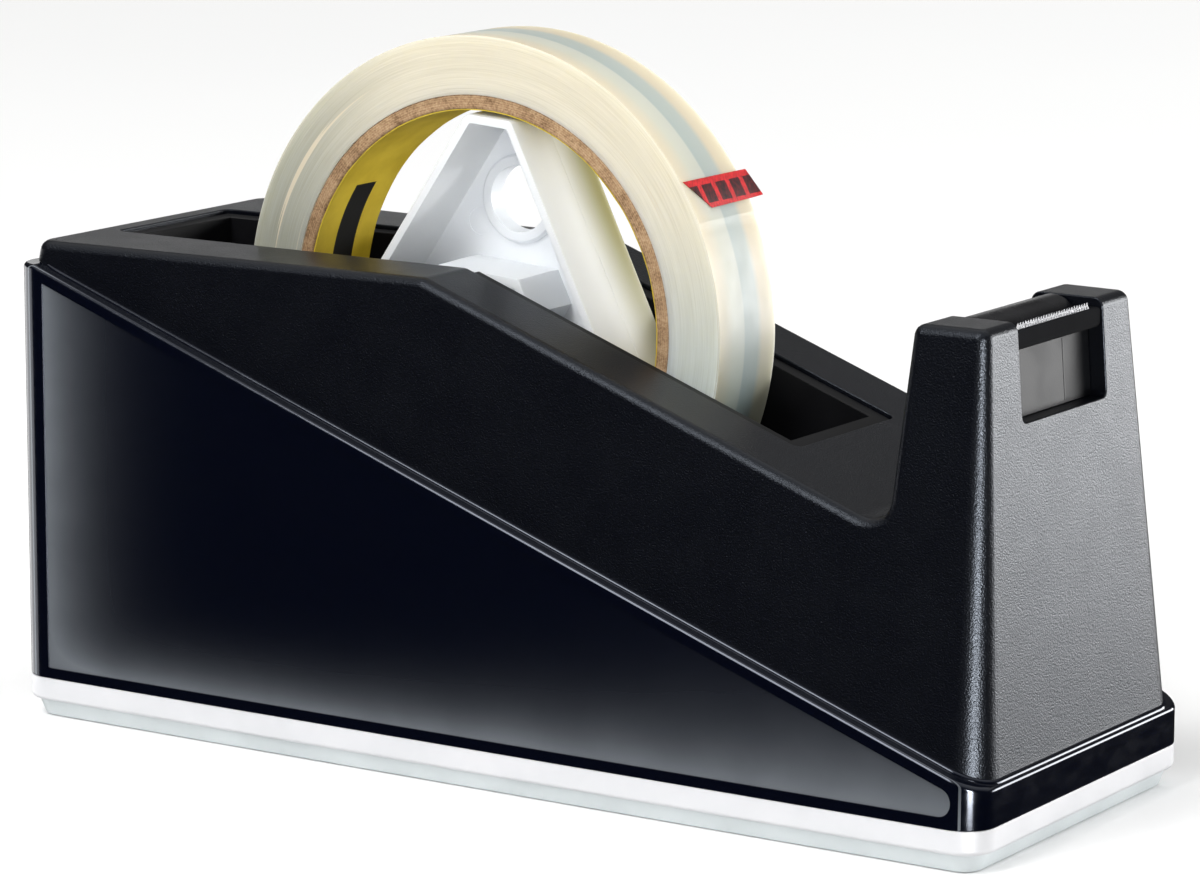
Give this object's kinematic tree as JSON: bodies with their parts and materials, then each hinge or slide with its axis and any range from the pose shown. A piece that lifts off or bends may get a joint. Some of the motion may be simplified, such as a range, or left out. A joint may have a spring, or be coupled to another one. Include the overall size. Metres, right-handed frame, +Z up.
{
  "type": "desktop tape dispenser",
  "caption": "Heavy desktop tape dispenser: weighted wedge-shaped case, lift-out hub with a wide-core tape roll, guide roller and serrated cutter on a front post.",
  "frame": {"origin": "middle of the underside, on the surface it stands on", "axes": "+X towards the cutter end, +Y across the case, +Z up"},
  "size_m": [0.205, 0.077, 0.1307],
  "materials": {
    "tray_white": "satin white moulding",
    "pad_white": "soft pale grey-white sheet",
    "shell_gloss": "polished black moulding",
    "shell_matte": "fine spark-eroded texture, black",
    "liner_black": "plain black moulding",
    "holder_black": "smooth black moulding",
    "roller_black": "smooth black moulding",
    "blade_steel": "ground teeth",
    "fastener_steel": "zinc plated",
    "axle_steel": "turned",
    "ballast_iron": "as cast",
    "hub_white": "satin white moulding",
    "core_board": "kraft board",
    "label_yellow": "coated paper",
    "tape_film": "wound clear film, milky",
    "tab_red": "printed film"
  },
  "bodies": {
    "case": {"non_slip_base": "pad_white", "base_tray": "tray_white", "ballast_weight": "ballast_iron", "case_bolts": "fastener_steel", "base_screws": "fastener_steel", "lower_shell": "shell_gloss", "upper_shell": "shell_matte", "well_liner": "liner_black", "liner_screws": "fastener_steel", "cutter_holder": "holder_black", "holder_screws": "fastener_steel", "cutter_blade": "blade_steel", "roller_pin": "axle_steel"},
    "roller": {"guide_roller": "roller_black"},
    "axle": {"axle": "axle_steel"},
    "reel": {"hub_frame": "hub_white", "hub_spindle": "hub_white", "paper_core": "core_board", "core_label": "label_yellow", "tape_roll": "tape_film", "pull_tab": "tab_red"}
  },
  "joints": [
    {"name": "axle_lift", "type": "slide", "parent": "case", "child": "axle", "axis": [0, 0, 1], "range_m": [0, 0.07]},
    {"name": "reel_spin", "type": "hinge", "parent": "axle", "child": "reel", "pos_m": [-0.0177, 0, 0.0793], "axis": [0, 1, 0], "continuous": true},
    {"name": "roller_spin", "type": "hinge", "parent": "case", "child": "roller", "pos_m": [0.08651, 0, 0.0855], "axis": [0, 1, 0], "continuous": true}
  ]
}
